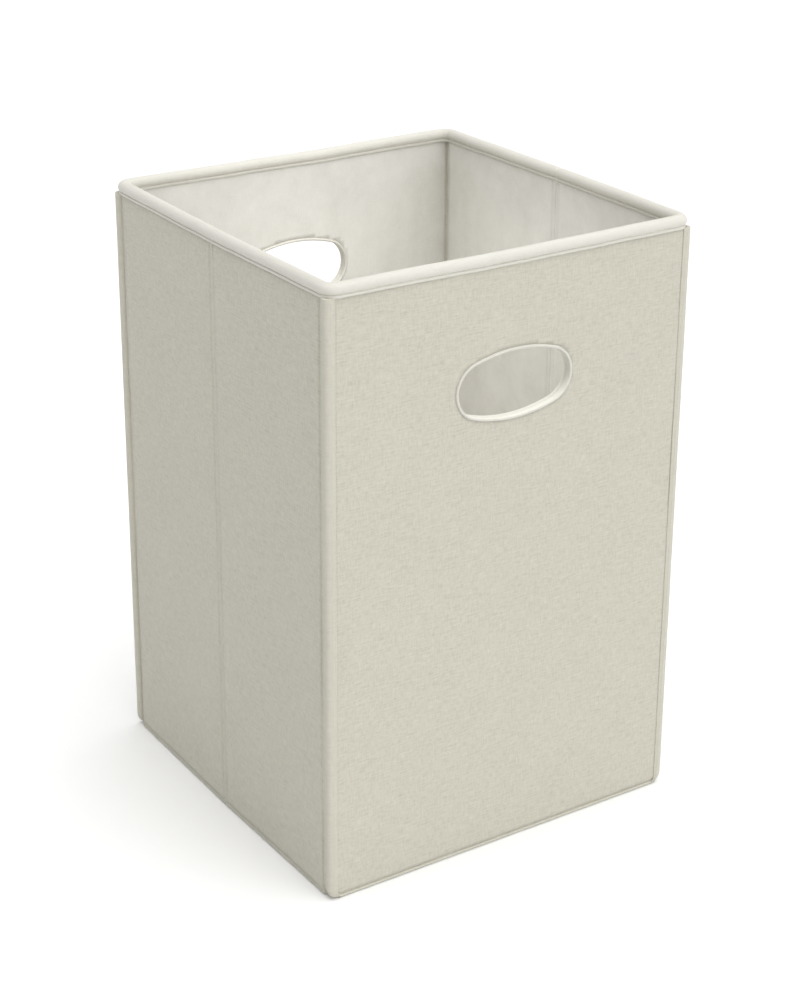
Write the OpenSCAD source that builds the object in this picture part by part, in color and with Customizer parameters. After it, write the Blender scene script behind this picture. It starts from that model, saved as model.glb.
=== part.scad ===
// Collapsible fabric storage bin: square plan, open top, one oval hand slot in the front wall
// and one in the back wall. The front and back walls are single stiff panels. Each side wall is
// two half panels that fold inwards at a centre crease, so the front wall travels straight back.
// A stiff base flap swings up against the back wall first.
// Units are millimetres. Z is up, the front wall faces -Y, and the origin is the middle of the
// footprint at floor level.

/* [Overall] */
// Width across the rim and the bound edges, left to right
body_w = 356; // [280:1:420]
// Depth across the rim, front to back
body_d = 356; // [280:1:420]
// Height from the floor to the top of the rim
body_h = 538; // [400:1:650]

/* [Wall build-up] */
// Thickness of the stiff board inside every wall
board_t = 5; // [2:0.5:6]
// Thickness of the woven outer cover
cover_t = 1; // [0.5:0.1:2]
// Thickness of the non-woven inner liner
liner_t = 1; // [0.5:0.1:2]

/* [Rim binding] */
// How far the padded rim stands out from each face of a wall
rim_out = 2; // [1:0.25:4]
// Height of the whole rim binding, bead and flat lip together
rim_h = 11.5; // [9:0.5:18]
// Height of the flat sewn lip under the bead
lip_h = 3; // [2:0.5:5]
// How far the flat lip stands out from each face of a wall
lip_out = 1; // [0.5:0.25:1.5]

/* [Hand slots] */
// Length of the clear opening inside the slot binding
slot_w = 110; // [80:1:140]
// Height of the clear opening inside the slot binding
slot_h = 56; // [35:1:80]
// Height of the slot's centre above the floor
slot_z = 425.5; // [300:0.5:480]
// Radius of the rounded ends of the clear opening
slot_end_r = 23; // [15:1:27]
// Width of the binding's lip on each face of the wall
slot_lip_w = 3; // [2:0.5:6]
// How far that lip stands out from each face of the wall
slot_lip_out = 1.2; // [0.5:0.1:2]

/* [Edge binding] */
// Width of the tape on each face of the front and back walls
tape_w = 9; // [6:0.5:20]
// Thickness of the edge tape
tape_t = 0.8; // [0.4:0.1:1.2]
// Radius of the lower corners of the front and back walls
corner_r = 11; // [6:0.5:20]

/* [Base flap] */
// Thickness of the stiff board inside the base flap
base_board_t = 2.4; // [1.5:0.1:2.6]
// Thickness of the cloth wrapped round the base board
base_cloth_t = 0.5; // [0.3:0.1:0.6]

/* [Hems and hinges] */
// Height of the soft hem under the boards
hem_h = 4; // [3.6:0.1:6]
// Width of the cloth hinge between a half panel and its neighbour at the corner
hinge_gap = 4; // [3.6:0.1:6]
// Width of the outer strip of cloth over a centre crease
crease_w = 3.8; // [2:0.2:6]
// Width of the inner band of liner over a centre crease
band_w = 6; // [4:0.5:12]

/* [Display] */

/* [Hidden] */
$fn = 48;
wall_t = cover_t + board_t + liner_t;
half_t = wall_t/2;
hx = body_w/2;
hy = body_d/2;
// Outer and inner faces of the side walls, measured from the middle
side_out = hx - rim_out;
side_in = side_out - wall_t;
// Outer and inner faces of the front and back walls, measured from the middle
panel_out = hy - rim_out;
panel_in = panel_out - wall_t;
panel_mid = panel_out - half_t;
// Middle of the rounded vertical edge of a front or back wall
edge_x = hx - tape_t - half_t;
// A half panel runs from just beside the crease to the corner hinge
half_y0 = 0.3;
half_y1 = panel_in - hinge_gap;
// The boards, cover and liner end inside the rim's channel
wall_top = body_h - rim_h + lip_h + 1.8;
rim_z0 = body_h - rim_h;
bead_r = half_t + rim_out;
lip_r = half_t + lip_out;
// Extra half size of the slot cut in the cover, board and liner, filled by the binding
lining_t = 1;
base_t = base_board_t + 2*base_cloth_t;
base_x = side_in - 1;
base_y0 = -(panel_in - 1);
base_y1 = panel_in - 1.2;
cloth_rgb = [0.84, 0.83, 0.77];
trim_rgb = [0.93, 0.92, 0.87];
liner_rgb = [0.83, 0.82, 0.79];
board_rgb = [0.70, 0.62, 0.48];

// ---- shared shapes ----

module front_end() mirror([0, 1, 0]) children();
module right_side() mirror([1, 0, 0]) children();

// An oval of half sizes a and b with end radius r: two end circles joined by two shallow arcs
module oval(a, b, r) {
    c = a - r;
    big = (c*c + b*b - r*r) / (2*(b - r));
    tx = big*c / (big - r);
    for (s = [-1, 1]) translate([s*c, 0]) circle(r = r);
    intersection() {
        translate([0, b - big]) circle(r = big);
        translate([0, big - b]) circle(r = big);
        square([2*tx, 4*b], center = true);
    }
}

// The slot outline grown by g all round, cut through in Y at the back wall
module slot_cut(g, y0, y1) {
    translate([0, y1, slot_z]) rotate([90, 0, 0]) linear_extrude(height = y1 - y0)
        oval(slot_w/2 + g, slot_h/2 + g, slot_end_r + g);
}

// Plan outline of a front or back wall with rounded edges, grown by g
module edge_plan(g) {
    translate([0, panel_mid]) {
        square([2*edge_x, 2*(half_t + g)], center = true);
        for (s = [-1, 1]) translate([s*edge_x, 0]) circle(r = half_t + g);
    }
}

// Keeps what lies inside the wall's elevation, with its two rounded lower corners
module round_corners(inset = 0) {
    intersection() {
        children();
        translate([0, panel_out + 20, 0]) rotate([90, 0, 0]) linear_extrude(height = wall_t + 40) {
            translate([-hx + inset, corner_r]) square([2*(hx - inset), body_h]);
            translate([-hx + corner_r, inset]) square([2*(hx - corner_r), corner_r]);
            for (s = [-1, 1]) translate([s*(hx - corner_r), corner_r]) circle(r = corner_r - inset);
        }
    }
}

// Section across the rim binding: a round bead on a channel with a thinner sewn lip
module rim_section() {
    difference() {
        union() {
            translate([0, body_h - bead_r]) circle(r = bead_r);
            translate([-bead_r, rim_z0 + lip_h]) square([2*bead_r, rim_h - lip_h - bead_r]);
            translate([-lip_r, rim_z0]) square([2*lip_r, lip_h]);
        }
        translate([-half_t, rim_z0 - 1]) square([wall_t, wall_top - rim_z0 + 1]);
    }
}

// ---- front and back walls, drawn at the back ----

module panel_board() {
    round_corners(1.2) difference() {
        translate([0, 0, hem_h + 1]) linear_extrude(height = wall_top - hem_h - 1)
            translate([0, panel_in + liner_t + board_t/2]) {
                square([2*edge_x, board_t], center = true);
                for (s = [-1, 1]) translate([s*edge_x, 0]) circle(r = board_t/2);
            }
        slot_cut(lining_t, panel_in - 5, panel_out + 5);
    }
}

// Outer cover or inner liner: one face of the wall, wrapped round both vertical edges
module panel_skin(y0, y1) {
    round_corners(tape_t) difference() {
        translate([0, 0, hem_h]) linear_extrude(height = wall_top - hem_h) intersection() {
            difference() {
                edge_plan(0);
                translate([0, panel_in + liner_t + board_t/2]) {
                    square([2*edge_x, board_t], center = true);
                    for (s = [-1, 1]) translate([s*edge_x, 0]) circle(r = board_t/2);
                }
            }
            translate([-hx, y0]) square([body_w, y1 - y0]);
        }
        slot_cut(lining_t, panel_in - 5, panel_out + 5);
    }
}

// Folded strip sewn round the edge of the slot, with a lip on each face
module panel_slot_binding() {
    difference() {
        union() {
            slot_cut(lining_t, panel_in - slot_lip_out, panel_out + slot_lip_out);
            slot_cut(slot_lip_w, panel_out, panel_out + slot_lip_out);
            slot_cut(slot_lip_w, panel_in - slot_lip_out, panel_in);
        }
        slot_cut(0, panel_in - 5, panel_out + 5);
    }
}

// Tape folded round one vertical edge, from the hem up to the rim's lip
module panel_edge() {
    round_corners() translate([0, 0, hem_h]) linear_extrude(height = rim_z0 - 0.2 - hem_h)
        difference() {
            edge_plan(tape_t);
            edge_plan(0);
            translate([-hx + tape_w, 0]) square([2*body_w, body_d]);
        }
}

// Soft strip below the board that meets the floor
module panel_hem() {
    round_corners(0.3) linear_extrude(height = hem_h) edge_plan(0.4);
}

module panel_rim() {
    difference() {
        union() {
            translate([-(hx - bead_r), panel_mid, 0]) rotate([90, 0, 90])
                linear_extrude(height = 2*(hx - bead_r)) rim_section();
            for (s = [-1, 1]) {
                translate([s*(hx - bead_r), panel_mid, 0]) {
                    translate([0, 0, body_h - bead_r]) sphere(r = bead_r);
                    translate([0, 0, rim_z0 + lip_h])
                        cylinder(r = bead_r, h = rim_h - lip_h - bead_r);
                }
                translate([s*(hx - lip_r - 0.2), panel_mid, rim_z0])
                    cylinder(r = lip_r, h = lip_h);
            }
        }
        translate([0, 0, rim_z0 - 1]) linear_extrude(height = wall_top - rim_z0 + 1) edge_plan(0);
    }
}

// ---- side half panels, drawn at the left rear ----

module half_slab(x0, x1, y0, y1, z0, z1) {
    translate([-x0, y0, z0]) cube([x0 - x1, y1 - y0, z1 - z0]);
}
module half_board()
    half_slab(side_out - cover_t, side_in + liner_t, 1.2, half_y1 - 1.2, hem_h + 1, wall_top);
module half_cover()
    half_slab(side_out, side_out - cover_t, crease_w/2 + 0.1, half_y1, hem_h, wall_top);
module half_liner()
    half_slab(side_in + liner_t, side_in, band_w/2 + 0.1, half_y1, hem_h, wall_top);
module half_hem()
    half_slab(side_out + 0.3, side_in - 0.3, half_y0, half_y1, 0, hem_h);
module half_rim() {
    translate([-(side_out - half_t), half_y1, 0]) rotate([90, 0, 0])
        linear_extrude(height = half_y1 - half_y0) rim_section();
}

// ---- cloth hinges ----

// Outer strip of cover cloth over a centre crease, at the left
module crease_strip() {
    half_slab(side_out, side_out - 0.8, -crease_w/2, crease_w/2, hem_h, rim_z0 - 0.2);
}
// Inner band of liner over a centre crease, at the left
module crease_band() {
    half_slab(side_in + liner_t - 0.2, side_in, -band_w/2, band_w/2, hem_h, rim_z0 - 0.2);
}
// Folded cloth between a half panel and the wall next to it, at the left rear corner
module corner_gusset() {
    y0 = half_y1 + 0.05;
    y1 = panel_in - tape_t - 0.05;
    half_slab(side_out, side_out - 0.8, y0, y1, 0.3, rim_z0 - 0.2);
    half_slab(side_in + 0.8, side_in, y0, y1, 0.3, rim_z0 - 0.2);
    half_slab(side_out - 0.4, side_in + 0.4, y1 - 0.8, y1, 0.3, rim_z0 - 0.2);
}

// ---- back wall ----

module back_board() color(board_rgb) panel_board();
module back_cover() color(cloth_rgb) panel_skin(panel_mid, panel_out + 1);
module back_liner() color(liner_rgb) panel_skin(panel_in - 1, panel_mid);
module back_slot_binding() color(trim_rgb) panel_slot_binding();
module back_edge_left() color(trim_rgb) panel_edge();
module back_edge_right() color(trim_rgb) right_side() panel_edge();
module back_hem() color(cloth_rgb) panel_hem();
module back_rim() color(trim_rgb) panel_rim();

// ---- front wall ----

module front_board() color(board_rgb) front_end() panel_board();
module front_cover() color(cloth_rgb) front_end() panel_skin(panel_mid, panel_out + 1);
module front_liner() color(liner_rgb) front_end() panel_skin(panel_in - 1, panel_mid);
module front_slot_binding() color(trim_rgb) front_end() panel_slot_binding();
module front_edge_left() color(trim_rgb) front_end() panel_edge();
module front_edge_right() color(trim_rgb) front_end() right_side() panel_edge();
module front_hem() color(cloth_rgb) front_end() panel_hem();
module front_rim() color(trim_rgb) front_end() panel_rim();

// ---- side half panels ----

module left_rear_board() color(board_rgb) half_board();
module left_rear_cover() color(cloth_rgb) half_cover();
module left_rear_liner() color(liner_rgb) half_liner();
module left_rear_hem() color(cloth_rgb) half_hem();
module left_rear_rim() color(trim_rgb) half_rim();
module left_front_board() color(board_rgb) front_end() half_board();
module left_front_cover() color(cloth_rgb) front_end() half_cover();
module left_front_liner() color(liner_rgb) front_end() half_liner();
module left_front_hem() color(cloth_rgb) front_end() half_hem();
module left_front_rim() color(trim_rgb) front_end() half_rim();
module right_rear_board() color(board_rgb) right_side() half_board();
module right_rear_cover() color(cloth_rgb) right_side() half_cover();
module right_rear_liner() color(liner_rgb) right_side() half_liner();
module right_rear_hem() color(cloth_rgb) right_side() half_hem();
module right_rear_rim() color(trim_rgb) right_side() half_rim();
module right_front_board() color(board_rgb) right_side() front_end() half_board();
module right_front_cover() color(cloth_rgb) right_side() front_end() half_cover();
module right_front_liner() color(liner_rgb) right_side() front_end() half_liner();
module right_front_hem() color(cloth_rgb) right_side() front_end() half_hem();
module right_front_rim() color(trim_rgb) right_side() front_end() half_rim();

// ---- cloth hinges ----

module left_crease_strip() color(cloth_rgb) crease_strip();
module left_crease_band() color(liner_rgb) crease_band();
module right_crease_strip() color(cloth_rgb) right_side() crease_strip();
module right_crease_band() color(liner_rgb) right_side() crease_band();
module back_left_gusset() color(cloth_rgb) corner_gusset();
module back_right_gusset() color(cloth_rgb) right_side() corner_gusset();
module front_left_gusset() color(cloth_rgb) front_end() corner_gusset();
module front_right_gusset() color(cloth_rgb) right_side() front_end() corner_gusset();

// ---- base flap ----

module base_board() color(board_rgb)
    translate([-base_x + base_cloth_t, base_y0 + base_cloth_t, base_cloth_t])
        cube([2*(base_x - base_cloth_t), base_y1 - base_y0 - 2*base_cloth_t, base_board_t]);

module base_cover() color(liner_rgb) difference() {
    translate([-base_x, base_y0, 0]) cube([2*base_x, base_y1 - base_y0, base_t]);
    translate([-base_x + base_cloth_t, base_y0 + base_cloth_t, base_cloth_t])
        cube([2*(base_x - base_cloth_t), base_y1 - base_y0 - 2*base_cloth_t, base_board_t]);
}

// Cloth hinge of the base flap: one leg on the flap, one leg on the back wall's liner
module base_hinge() color(liner_rgb) {
    translate([-base_x + 8, base_y1 - 18, base_t]) cube([2*(base_x - 8), 18.6, 0.5]);
    translate([-base_x + 8, base_y1 + 0.1, base_t]) cube([2*(base_x - 8), 0.5, 16]);
}

// ---- drawing ----

back_board();
back_cover();
back_liner();
back_slot_binding();
back_edge_left();
back_edge_right();
back_hem();
back_rim();
front_board();
front_cover();
front_liner();
front_slot_binding();
front_edge_left();
front_edge_right();
front_hem();
front_rim();
left_rear_board();
left_rear_cover();
left_rear_liner();
left_rear_hem();
left_rear_rim();
left_front_board();
left_front_cover();
left_front_liner();
left_front_hem();
left_front_rim();
right_rear_board();
right_rear_cover();
right_rear_liner();
right_rear_hem();
right_rear_rim();
right_front_board();
right_front_cover();
right_front_liner();
right_front_hem();
right_front_rim();
left_crease_strip();
left_crease_band();
right_crease_strip();
right_crease_band();
back_left_gusset();
back_right_gusset();
front_left_gusset();
front_right_gusset();
base_board();
base_cover();
base_hinge();
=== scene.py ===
"""Looks for the folding fabric storage bin: sewn covers, padded rim, bindings, tapes and stitches."""
import math

import bmesh
import bpy
from mathutils import Matrix, Vector, noise


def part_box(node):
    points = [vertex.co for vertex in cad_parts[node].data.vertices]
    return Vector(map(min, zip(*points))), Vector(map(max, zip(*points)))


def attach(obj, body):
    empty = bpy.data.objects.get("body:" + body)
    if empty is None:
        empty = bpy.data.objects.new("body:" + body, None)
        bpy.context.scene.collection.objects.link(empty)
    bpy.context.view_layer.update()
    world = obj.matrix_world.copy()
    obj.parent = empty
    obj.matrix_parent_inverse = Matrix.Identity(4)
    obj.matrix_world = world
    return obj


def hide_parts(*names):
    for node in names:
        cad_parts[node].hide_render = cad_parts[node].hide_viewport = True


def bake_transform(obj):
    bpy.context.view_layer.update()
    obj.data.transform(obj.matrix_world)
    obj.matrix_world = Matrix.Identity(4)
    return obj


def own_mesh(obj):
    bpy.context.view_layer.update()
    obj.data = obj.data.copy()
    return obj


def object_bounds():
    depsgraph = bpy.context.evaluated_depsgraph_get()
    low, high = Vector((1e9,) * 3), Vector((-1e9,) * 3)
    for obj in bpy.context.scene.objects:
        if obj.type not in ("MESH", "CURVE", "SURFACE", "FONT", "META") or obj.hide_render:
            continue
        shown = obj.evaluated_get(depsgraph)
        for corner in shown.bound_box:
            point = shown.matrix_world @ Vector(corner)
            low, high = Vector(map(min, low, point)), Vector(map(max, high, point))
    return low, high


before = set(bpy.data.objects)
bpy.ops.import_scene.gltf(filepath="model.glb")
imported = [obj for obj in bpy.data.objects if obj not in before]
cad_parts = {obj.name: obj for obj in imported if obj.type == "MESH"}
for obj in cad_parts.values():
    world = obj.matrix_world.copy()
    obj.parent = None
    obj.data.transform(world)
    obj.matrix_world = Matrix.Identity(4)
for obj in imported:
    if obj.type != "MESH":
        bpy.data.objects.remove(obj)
cad_low, cad_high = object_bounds()

MM = 0.001
FRONT, BACK = -1, 1
LEFT, RIGHT = -1, 1
Z_AXIS = Vector((0, 0, 1))

# ---- places taken from the frame ----

half_width = cad_high.x
height = cad_high.z
side_out = -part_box("left_rear_cover")[0].x
side_in = -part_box("left_rear_liner")[1].x
side_mid = (side_out + side_in) / 2
panel_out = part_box("back_cover")[1].y
panel_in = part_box("back_liner")[0].y
panel_mid = (panel_out + panel_in) / 2
half_wall = (panel_out - panel_in) / 2
hem_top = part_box("left_rear_hem")[1].z
rim_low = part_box("back_rim")[0].z
hinge_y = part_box("left_rear_cover")[1].y
tape_inner_x = half_width - (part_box("back_edge_left")[1].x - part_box("back_edge_left")[0].x)
tape_r = (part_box("back_edge_left")[1].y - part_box("back_edge_left")[0].y) / 2
slot_low, slot_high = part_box("back_slot_binding")
slot_z = (slot_low.z + slot_high.z) / 2
lip_width = 3 * MM
slot_a = (slot_high.x - slot_low.x) / 2 - lip_width
slot_b = (slot_high.z - slot_low.z) / 2 - lip_width
slot_end_r = 23 * MM
low_corner_r = 11 * MM
base_low, base_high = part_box("base_cover")

HALVES = (("left_rear", LEFT, BACK), ("left_front", LEFT, FRONT),
          ("right_rear", RIGHT, BACK), ("right_front", RIGHT, FRONT))
PANELS = (("back", BACK), ("front", FRONT))

# ---- sizes of sewn details ----

CLOTH = 0.9 * MM
tape_thickness = 0.75 * MM
cloth_step = 4 * MM
seam_dip = 0.35 * MM
deepest_dip = 0.75 * MM
broad_fullness = 0.45 * MM
small_ripple = 0.12 * MM
wall_bow = 2 * MM
crease_half = 2 * MM
band_half = 3 * MM
board_top_corner_r = 18 * MM
board_edge_r = 0.5 * MM
rim_crease_half = 3 * MM
rim_corner_run = 156 * MM
rim_turn_r = 9 * MM
rim_groove_out = 4.1 * MM
rim_groove_down = 8.85 * MM
under_rim = rim_low + 1.2 * MM
base_border = 12 * MM


# ---- workshop helpers ----

def finished(name, bm, material, smooth_deg=40):
    """Turns a filled bmesh into a finished object at the origin."""
    mesh = bpy.data.meshes.new(name)
    bm.to_mesh(mesh)
    bm.free()
    mesh.materials.append(material)
    mesh.shade_smooth()
    mesh.set_sharp_from_angle(angle=math.radians(smooth_deg))
    piece = bpy.data.objects.new(name, mesh)
    bpy.context.scene.collection.objects.link(piece)
    return piece


def give_thickness(piece, thickness):
    """Thickens a cloth surface inwards, away from its outer face."""
    solid = piece.modifiers.new("cloth_thickness", "SOLIDIFY")
    solid.thickness = thickness
    solid.offset = -1


def fit(piece, body, slot, *stands_for):
    """Ties a finished piece to its body and hides the plain parts that it stands for; the finish given as
    slot is not used.
    """
    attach(piece, body)
    if stands_for:
        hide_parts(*stands_for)
    return piece


def hinge(piece, body_a, body_b, start, end, slot, *stands_for):
    """Bakes a soft piece's placing into its mesh and hides the plain parts that it stands for; the two
    bodies, the ends and the slot are not used.
    """
    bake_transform(piece)
    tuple(start)
    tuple(end)
    if stands_for:
        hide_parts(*stands_for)
    return piece


def puff(point, scale, amount, seed=0.0):
    """A smooth random height, the same at the same place."""
    return amount * noise.noise(Vector(point) / scale + Vector((seed, seed, seed)))


def bow_at(y):
    """How far a side wall stands out at y: two flat halves that meet a little proud at the crease."""
    return wall_bow * max(0.0, 1 - abs(y) / hinge_y)


def bow_sides(bm):
    """Moves side-wall points out to the bowed line of the wall."""
    for v in bm.verts:
        v.co.x += math.copysign(bow_at(v.co.y), v.co.x)


def face_out(bm, away):
    """Turns the whole surface so that it faces the way that away(point) gives."""
    bm.normal_update()
    agree = sum(f.normal.dot(away(f.calc_center_median())) * f.calc_area() for f in bm.faces)
    if agree < 0:
        bmesh.ops.reverse_faces(bm, faces=bm.faces[:])


def cloth_grid(columns, rows, place):
    """A grid of cloth shaped by place(column, row)."""
    bm = bmesh.new()
    bmesh.ops.create_grid(bm, x_segments=columns, y_segments=rows, size=0.5)
    for v in bm.verts:
        v.co = place(round((v.co.x + 0.5) * columns), round((v.co.y + 0.5) * rows))
    return bm


def frame_at(place, out):
    """A section frame at place: the section's first axis points out, its second up."""
    out = Vector(out).normalized()
    along = Z_AXIS.cross(out)
    m = Matrix((out, along, Z_AXIS)).transposed().to_4x4()
    m.translation = place
    return m


def sweep(section, frames, closed=False):
    """Extrudes a closed section, given as (out, up) points, from frame to frame."""
    bm = bmesh.new()
    ring = [bm.verts.new((u, 0, w)) for u, w in section]
    edges = [bm.edges.new((ring[k], ring[(k + 1) % len(ring)])) for k in range(len(ring))]
    bmesh.ops.transform(bm, matrix=frames[0], verts=ring)
    if not closed:
        bmesh.ops.contextual_create(bm, geom=edges)
    for before, after in zip(frames, frames[1:]):
        made = bmesh.ops.extrude_edge_only(bm, edges=edges)["geom"]
        verts = [g for g in made if isinstance(g, bmesh.types.BMVert)]
        fresh = set(verts)
        edges = [g for g in made if isinstance(g, bmesh.types.BMEdge)
                 and g.verts[0] in fresh and g.verts[1] in fresh]
        bmesh.ops.transform(bm, matrix=after @ before.inverted(), verts=verts)
    if closed:
        bmesh.ops.remove_doubles(bm, verts=bm.verts, dist=1e-6)
    else:
        bmesh.ops.contextual_create(bm, geom=edges)
    bmesh.ops.recalc_face_normals(bm, faces=bm.faces)
    return bm


def arc(centre, radius, start_deg, end_deg, steps):
    """Points of an arc in a plane, both ends included."""
    turns = [math.radians(start_deg + (end_deg - start_deg) * k / steps) for k in range(steps + 1)]
    return [(centre[0] + radius * math.cos(a), centre[1] + radius * math.sin(a)) for a in turns]


def spread(low, high, step):
    """Evenly spaced places from low to high, about a step apart."""
    count = max(1, round(abs(high - low) / step))
    return [low + (high - low) * k / count for k in range(count + 1)]


def ease(distance, reach):
    """0 at a seam, rising smoothly to 1 at reach from it."""
    share = min(max(distance / reach, 0.0), 1.0)
    return share * share * (3 - 2 * share)


def slot_point(share, grow=0.0):
    """A point of the hand slot's oval, grown by grow, and its outward direction in the wall."""
    a, b, r = slot_a + grow, slot_b + grow, slot_end_r + grow
    c = a - r
    big = (c * c + b * b - r * r) / (2 * (b - r))
    join = math.atan2(c, big - b)
    end_run, long_run = r * (math.pi / 2 - join), big * join
    side, along = divmod((share % 1.0) * 4 * (end_run + long_run), end_run + long_run)
    if side in (1, 3):
        along = end_run + long_run - along
    if along <= end_run:
        turn, radius, mid = along / r, r, (c, 0.0)
    else:
        turn, radius, mid = math.pi / 2 - join + (along - end_run) / big, big, (0.0, b - big)
    sx, sz = (-1 if side in (1, 2) else 1), (-1 if side in (2, 3) else 1)
    out = (sx * math.cos(turn), sz * math.sin(turn))
    return (sx * mid[0] + radius * out[0], sz * mid[1] + radius * out[1]), out


def in_slot(x, z, grow):
    """True where a point of the wall, measured from the slot's middle, lies in the grown oval."""
    a, b, r = slot_a + grow, slot_b + grow, slot_end_r + grow
    c = a - r
    big = (c * c + b * b - r * r) / (2 * (b - r))
    x, z = abs(x), abs(z)
    if x > big * c / (big - r):
        return math.hypot(x - c, z) < r
    return math.hypot(x, z + big - b) < big


def cut_slot(bm, grow):
    """Removes the cloth inside the grown oval and draws the cut edge onto it. The grid is flat in XZ."""
    inside = [f for f in bm.faces
              if in_slot(f.calc_center_median().x, f.calc_center_median().z - slot_z, grow)]
    bmesh.ops.delete(bm, geom=inside, context="FACES")
    for v in bm.verts:
        x, z = v.co.x, v.co.z - slot_z
        if not v.is_boundary or abs(x) > slot_a * 1.3 or abs(z) > slot_b * 1.5:
            continue
        low, high = 0.3, 3.0
        for _ in range(30):
            middle = (low + high) / 2
            if in_slot(x * middle, z * middle, grow):
                low = middle
            else:
                high = middle
        v.co.x, v.co.z = x * low, z * low + slot_z


def stitch_row(name, body, slot, start, end, out, pitch=3.2 * MM):
    """A straight row of small thread stitches that lie along a seam."""
    start, end = Vector(start), Vector(end)
    along = (end - start).normalized()
    count = max(2, int((end - start).length / pitch))
    turn = Matrix((along, Vector(out).cross(along), Vector(out))).transposed().to_4x4()
    bm = bmesh.new()
    bmesh.ops.create_uvsphere(bm, u_segments=6, v_segments=4, radius=1.0)
    bmesh.ops.scale(bm, vec=(0.36 * pitch, 0.24 * MM, 0.2 * MM), verts=bm.verts)
    bmesh.ops.transform(bm, matrix=Matrix.Translation(start) @ turn, verts=bm.verts)
    row = finished(name, bm, thread)
    repeat = row.modifiers.new("stitches", "ARRAY")
    repeat.use_relative_offset = False
    repeat.use_constant_offset = True
    repeat.constant_offset_displace = (end - start) / count
    repeat.count = count + 1
    return fit(row, body, slot)


# ---- materials ----

class Shade:
    """A small helper that builds one node material."""

    def __init__(self, name, roughness, sheen=0.0, sheen_tint=(1, 1, 1, 1)):
        self.material = bpy.data.materials.new(name)
        self.material.use_nodes = True
        self.tree = self.material.node_tree
        self.shader = self.tree.nodes["Principled BSDF"]
        self.shader.inputs["Roughness"].default_value = roughness
        self.shader.inputs["Sheen Weight"].default_value = sheen
        self.shader.inputs["Sheen Roughness"].default_value = 0.5
        self.shader.inputs["Sheen Tint"].default_value = sheen_tint
        self.shader.inputs["Specular IOR Level"].default_value = 0.25
        self.coord = self.node("ShaderNodeTexCoord").outputs["Object"]

    def node(self, kind, **settings):
        made = self.tree.nodes.new(kind)
        for key, value in settings.items():
            setattr(made, key, value)
        return made

    def link(self, a, b):
        self.tree.links.new(a, b)

    def math(self, operation, a, b=None, c=None):
        made = self.node("ShaderNodeMath", operation=operation)
        for slot, value in zip(made.inputs, (a, b, c)):
            if value is None:
                continue
            if isinstance(value, (int, float)):
                slot.default_value = value
            else:
                self.link(value, slot)
        return made.outputs[0]

    def noise(self, vector, scale, detail=2.0, roughness=0.5, distortion=0.0):
        made = self.node("ShaderNodeTexNoise")
        made.inputs["Scale"].default_value = scale
        made.inputs["Detail"].default_value = detail
        made.inputs["Roughness"].default_value = roughness
        made.inputs["Distortion"].default_value = distortion
        self.link(vector, made.inputs["Vector"])
        return made.outputs["Fac"]

    def stretch(self, vector, scale):
        made = self.node("ShaderNodeMapping", vector_type="POINT")
        made.inputs["Scale"].default_value = scale
        self.link(vector, made.inputs["Vector"])
        return made.outputs[0]

    def ramp(self, fac, stops):
        made = self.node("ShaderNodeValToRGB")
        elements = made.color_ramp.elements
        for k, (place, colour) in enumerate(stops):
            element = elements[k] if k < 2 else elements.new(place)
            element.position = place
            element.color = (*colour, 1)
        self.link(fac, made.inputs["Fac"])
        return made.outputs["Color"]

    def mix(self, fac, a, b, blend="MIX"):
        made = self.node("ShaderNodeMix", data_type="RGBA", blend_type=blend)
        for slot, value in ((made.inputs["Factor"], fac), (made.inputs["A"], a), (made.inputs["B"], b)):
            if isinstance(value, (int, float)):
                slot.default_value = value
            elif isinstance(value, tuple):
                slot.default_value = (*value, 1)
            else:
                self.link(value, slot)
        return made.outputs["Result"]

    def bump(self, height_value, strength, distance, normal=None):
        made = self.node("ShaderNodeBump")
        made.inputs["Strength"].default_value = strength
        made.inputs["Distance"].default_value = distance
        self.link(height_value, made.inputs["Height"])
        if normal is not None:
            self.link(normal, made.inputs["Normal"])
        return made.outputs["Normal"]

    def finish(self, colour, normal=None):
        if isinstance(colour, tuple):
            self.shader.inputs["Base Color"].default_value = (*colour, 1)
        else:
            self.link(colour, self.shader.inputs["Base Color"])
        if normal is not None:
            self.link(normal, self.shader.inputs["Normal"])
        return self.material


def cloth_plane(shade, flat=False):
    """Coordinates along the cloth in metres: round the bin and up, or across and along if it lies flat."""
    split = shade.node("ShaderNodeSeparateXYZ")
    shade.link(shade.coord, split.inputs[0])
    if flat:
        join = shade.node("ShaderNodeCombineXYZ")
        shade.link(split.outputs["X"], join.inputs["X"])
        shade.link(split.outputs["Y"], join.inputs["Y"])
        return join.outputs[0], split.outputs["X"], split.outputs["Y"]
    round_the_bin = shade.math("ADD", split.outputs["X"], split.outputs["Y"])
    join = shade.node("ShaderNodeCombineXYZ")
    shade.link(round_the_bin, join.inputs["X"])
    shade.link(split.outputs["Z"], join.inputs["Y"])
    return join.outputs[0], round_the_bin, split.outputs["Z"]


def thread_wave(shade, along, pitch):
    """A rounded ridge for every thread."""
    turns = shade.math("MULTIPLY", along, math.pi / pitch)
    return shade.math("ABSOLUTE", shade.math("SINE", turns))


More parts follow.
